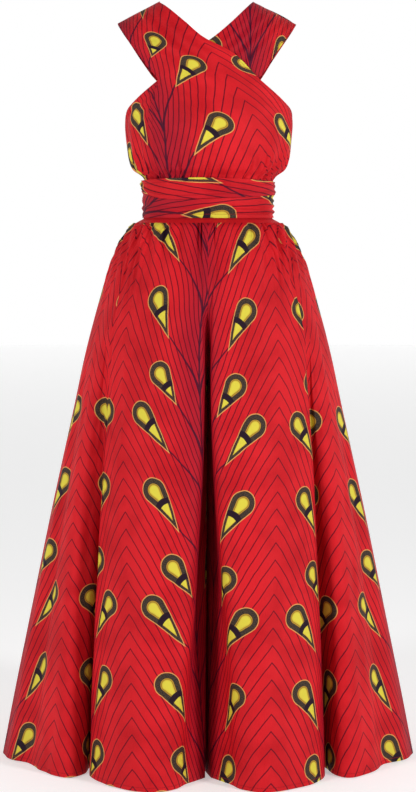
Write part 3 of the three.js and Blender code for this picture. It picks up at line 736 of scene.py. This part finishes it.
# Tables by height. line: where the print's chevron points (175) or its stem (0) run, as a distance round from
# the middle. tight: how far the print is drawn together. down: the place in the repeat. sway: degrees by which
# the drops are pulled askew.
straight = [(1080, 0), (1422, 0)]
strapLooks = {
    "strap_over_front": dict(
        seed=51, pleatSeed=51, lineAt=175,
        tight=[(1080, 0.98), (1200, 1.0), (1260, 1.06), (1300, 1.1), (1345, 1.02), (1422, 1.05)],
        sway=[(1080, 10), (1150, 14), (1200, 14), (1300, 8), (1345, -8), (1422, -10)],
        down=[(1080, 611), (1193, 498), (1305, 358), (1345, 292), (1422, 190)],
        line=[(1080, 108), (1172, 96), (1204, 85), (1231, 70), (1257, 53), (1280, 35), (1309, 15), (1337, -4),
              (1422, -55)]),
    "strap_under_front": dict(
        seed=61, pleatSeed=51, lineAt=0, sway=straight,
        tight=[(1080, 0.95), (1262, 0.95), (1268, 0.95), (1275, 1.1), (1281, 1.1), (1422, 1.1)],
        down=[(1080, 420), (1262, 238), (1268, 232), (1275, 6), (1281, 0), (1334, -53), (1422, -141)],
        line=[(1080, -70), (1262, -71), (1268, -70), (1275, 79), (1281, 80), (1422, 80)]),
    "strap_over_back": dict(
        seed=71, pleatSeed=71, lineAt=175, sway=straight, tight=[(1080, 0.92), (1422, 1.1)],
        down=[(1080, 380), (1250, 210), (1422, 20)],
        line=[(1080, 60), (1200, 60), (1300, 10), (1422, -60)]),
    "strap_under_back": dict(
        seed=81, pleatSeed=71, lineAt=0, sway=straight, tight=[(1080, 0.95), (1422, 1.0)],
        down=[(1080, 490), (1250, 320), (1422, 130)],
        line=[(1080, 60), (1200, 50), (1300, 60), (1422, 80)]),
}
for name, look in strapLooks.items():
    edges, shoulder, layer = (overStrap, -1, bodice["layer"]) if "over" in name else (underStrap, 1, 0.0)
    depth, deep = (2, -1) if name.endswith("front") else (3, 1)
    pieces[name] = strapPanel(name + "_cloth", edges, depth, shoulder, deep, layer, look)
    print("made", name)

waist = {
    "width": 119, "front": 85, "back": 83, "columns": 260, "bandRows": 36, "closerRows": 1.6, "bandGirth": 760,
    "sashRows": 22, "sashGirth": 650, "sashMiddle": 1050,
    # the lap at the back: share of a turn, and how far the outer end stands off
    "lap": 0.06, "step": 2.3, "stepFrom": 2.4, "stepTo": 0.9,
    "foldDepth": 1.8, "foldWave": (15, 500, 5), "foldSwing": 6, "foldRun": 700, "foldLimits": (-1.1, 1.6),
    "edgeCalm": 0.16,
}
# height, and how far it stands out over the tops of the legs
bandShape = np.array([(1009.7 - shell["waistSeam"], 15), (1013, 9), (1016.4, 2.4), (1018.6, 0.3), (1022, 0),
                      (1086, 0)], float)
# turn, lower edge, upper edge: 0 is the middle of the back, 0.25 the wearer's left, 0.5 the front
sashLower = np.array([(0, 1019, 1062), (0.13, 1019, 1062), (0.25, 1019, 1068), (0.5, 1018.5, 1066),
                      (0.75, 1019, 1080), (0.85, 1019, 1062), (1, 1019, 1062)], float)
sashUpper = np.array([(0, 1064, 1088), (0.13, 1064, 1088), (0.25, 1062.5, 1086), (0.5, 1055, 1093),
                      (0.6, 1054, 1092), (0.68, 1062, 1090), (0.75, 1075, 1089), (0.85, 1066, 1088),
                      (1, 1064, 1088)], float)


def waistPoint(turn, height, out):
    angle = 2 * math.pi * turn
    toBack = np.cos(angle)
    deep = np.where(toBack > 0, waist["back"], waist["front"]) + out
    return np.stack([(waist["width"] + out) * np.sin(angle), deep * toBack, height], axis=-1)


def waistband():
    turn = (np.arange(waist["columns"]) / waist["columns"])[None, :]
    t = np.linspace(0, 1, waist["bandRows"])
    height = mix(bandShape[0, 0], bandShape[-1, 0], t ** waist["closerRows"])[:, None]
    out = throughPoints(bandShape[:, 0], bandShape[:, 1], height)
    zero = np.zeros_like(turn)
    faces = [waistPoint(turn + 0 * height, height + zero, out + zero + depth)[:, ::-1]
             for depth in (shell["solid"], shell["solid"] - shell["cloth"])]
    flat = np.stack([turn * waist["bandGirth"] + 0 * height, height + zero], axis=-1)[:, ::-1]
    hem = np.broadcast_to(height - bandShape[0, 0], flat.shape[:2])
    return clothPiece("waistband_cloth", faces[0], faces[1], [flat], hem, ring=True)


def sashWrap(name, edges, lie, look):
    across = np.linspace(0, 1, waist["sashRows"])[:, None]
    turn = (np.linspace(0, 1, waist["columns"] + 1) * (1 + waist["lap"]) - waist["lap"] / 2)[None, :]
    bottom = throughPoints(edges[:, 0], edges[:, 1], turn)
    top = throughPoints(edges[:, 0], edges[:, 2], turn)
    height = mix(bottom, top, across)
    lapped = waist["step"] * smooth(turn, 1 - waist["stepFrom"] * waist["lap"], 1 - waist["stepTo"] * waist["lap"])
    inner = smooth(across, 0, waist["edgeCalm"]) * (1 - smooth(across, 1 - waist["edgeCalm"], 1))
    swung = height - bottom + waist["foldSwing"] * np.sin(2 * math.pi * turn)
    folded = uneven(swung, turn * waist["foldRun"], look["seed"], *waist["foldWave"])
    lift = waist["foldDepth"] * inner * np.clip(folded, *waist["foldLimits"])
    faces = [waistPoint(turn + 0 * height, height, lie + lapped + depth + lift)[:, ::-1]
             for depth in (shell["solid"], shell["solid"] - shell["cloth"])]
    angle = math.radians(look["angle"])
    a, b = (turn - 0.5) * waist["sashGirth"] + 0 * height, waist["sashMiddle"] - height
    flat = np.stack([look["across"] + a * math.cos(angle) - b * math.sin(angle),
                     look["down"] + a * math.sin(angle) + b * math.cos(angle)], axis=-1)[:, ::-1]
    hem = np.minimum(across, 1 - across) * (top - bottom)
    return clothPiece(name, faces[0], faces[1], [flat], np.broadcast_to(hem, flat.shape[:2])[:, ::-1])


sashLooks = {
    "sash_lower": dict(seed=91, angle=62, across=-47, down=297),
    "sash_upper": dict(seed=95, angle=-100, across=-38, down=543),
}
pieces["waistband"] = waistband()
pieces["waistband"].data.materials[0] = clothMaterials["plain"]
pieces["sash_lower"] = sashWrap("sash_lower_cloth", sashLower, 2.8, sashLooks["sash_lower"])
pieces["sash_upper"] = sashWrap("sash_upper_cloth", sashUpper, 5.6, sashLooks["sash_upper"])
print("made the waist")


# each solid part is hidden, and its cloth hangs from the root
for name, piece in pieces.items():
    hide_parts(name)
    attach(piece, "root")

studio = {
    "floor": -1.4235, "room": 14.0, "wall": 16.0, "sides": 64, "floorShade": 0.75, "floorGlow": 0.42,
    "wallShade": 0.0, "wallGlow": 1.0, "nearGlow": 0.14, "air": 0.13,
    "lens": 95.2, "film": 36, "eye": (0.0, -3.96, -0.422), "aimHeight": -0.56, "shift": -0.12,
}


def stagePiece(name, points, faces, shade, farGlow, nearGlow):
    # a pale sheet that gives off light, more of it behind the garment than in front
    mesh = bpy.data.meshes.new(name)
    mesh.from_pydata(points, [], faces)
    sheet = bpy.data.objects.new(name, mesh)
    bpy.context.scene.collection.objects.link(sheet)
    material = bpy.data.materials.new(name + "Paint")
    material.use_nodes = True
    tree = material.node_tree
    surface = tree.nodes["Principled BSDF"]
    surface.inputs["Base Color"].default_value = (shade, shade, shade, 1)
    surface.inputs["Roughness"].default_value = 0.9
    surface.inputs["Specular IOR Level"].default_value = 0
    surface.inputs["Emission Color"].default_value = (1, 1, 1, 1)
    place = tree.nodes.new("ShaderNodeNewGeometry")
    split = tree.nodes.new("ShaderNodeSeparateXYZ")
    feed(tree, split.inputs[0], place.outputs["Position"])
    back = fade(tree, split.outputs["Y"], -studio["room"], 0.5 * studio["room"])
    glow = calc(tree, "ADD", nearGlow, calc(tree, "MULTIPLY", back, farGlow - nearGlow))
    feed(tree, surface.inputs["Emission Strength"], glow)
    sheet.data.materials.append(material)


sides = studio["sides"]
turns = np.linspace(0, 2 * math.pi, sides, endpoint=False)
rim = [(studio["room"] * math.cos(a), studio["room"] * math.sin(a)) for a in turns]
low = [(x, y, studio["floor"]) for x, y in rim]
high = [(x, y, studio["floor"] + studio["wall"]) for x, y in rim]
wall = [(i, i + sides, (i + 1) % sides + sides, (i + 1) % sides) for i in range(sides)]
stagePiece("floor", low, [tuple(range(sides))], studio["floorShade"], studio["floorGlow"], studio["floorGlow"])
stagePiece("backdrop", low + high, wall, studio["wallShade"], studio["wallGlow"], studio["nearGlow"])


def softLight(name, place, target, size, power):
    light = bpy.data.lights.new(name, "AREA")
    light.shape = "DISK"
    light.size = size
    light.energy = power
    lamp = bpy.data.objects.new(name, light)
    lamp.location = place
    direction = np.array(target) - np.array(place)
    flat = math.hypot(direction[0], direction[1])
    dip = math.pi / 2 - math.atan2(-direction[2], flat)
    lamp.rotation_euler = (dip, 0, math.atan2(-direction[0], direction[1]))
    bpy.context.scene.collection.objects.link(lamp)


softLight("fillLight", (-2.6, -3.0, 0.45), (0, 0, -0.8), 0.7, 66)
softLight("keyLight", (3.0, -2.7, 0.5), (0, 0, -0.7), 0.7, 87)
world = bpy.data.worlds.new("studioAir")
world.use_nodes = True
world.node_tree.nodes["Background"].inputs["Color"].default_value = (1, 1, 1, 1)
world.node_tree.nodes["Background"].inputs["Strength"].default_value = studio["air"]
bpy.context.scene.world = world

camera = bpy.data.cameras.new("frontCamera")
camera.lens = studio["lens"]
camera.sensor_width = studio["film"]
camera.shift_y = studio["shift"]
eye = bpy.data.objects.new("frontCamera", camera)
eye.location = studio["eye"]
tilt = math.atan2(studio["eye"][2] - studio["aimHeight"], -studio["eye"][1])
eye.rotation_euler = (math.pi / 2 - tilt, 0, 0)
bpy.context.scene.collection.objects.link(eye)
bpy.context.scene.camera = eye
bpy.context.scene.view_settings.view_transform = "Standard"
print("stage, light and camera ready")
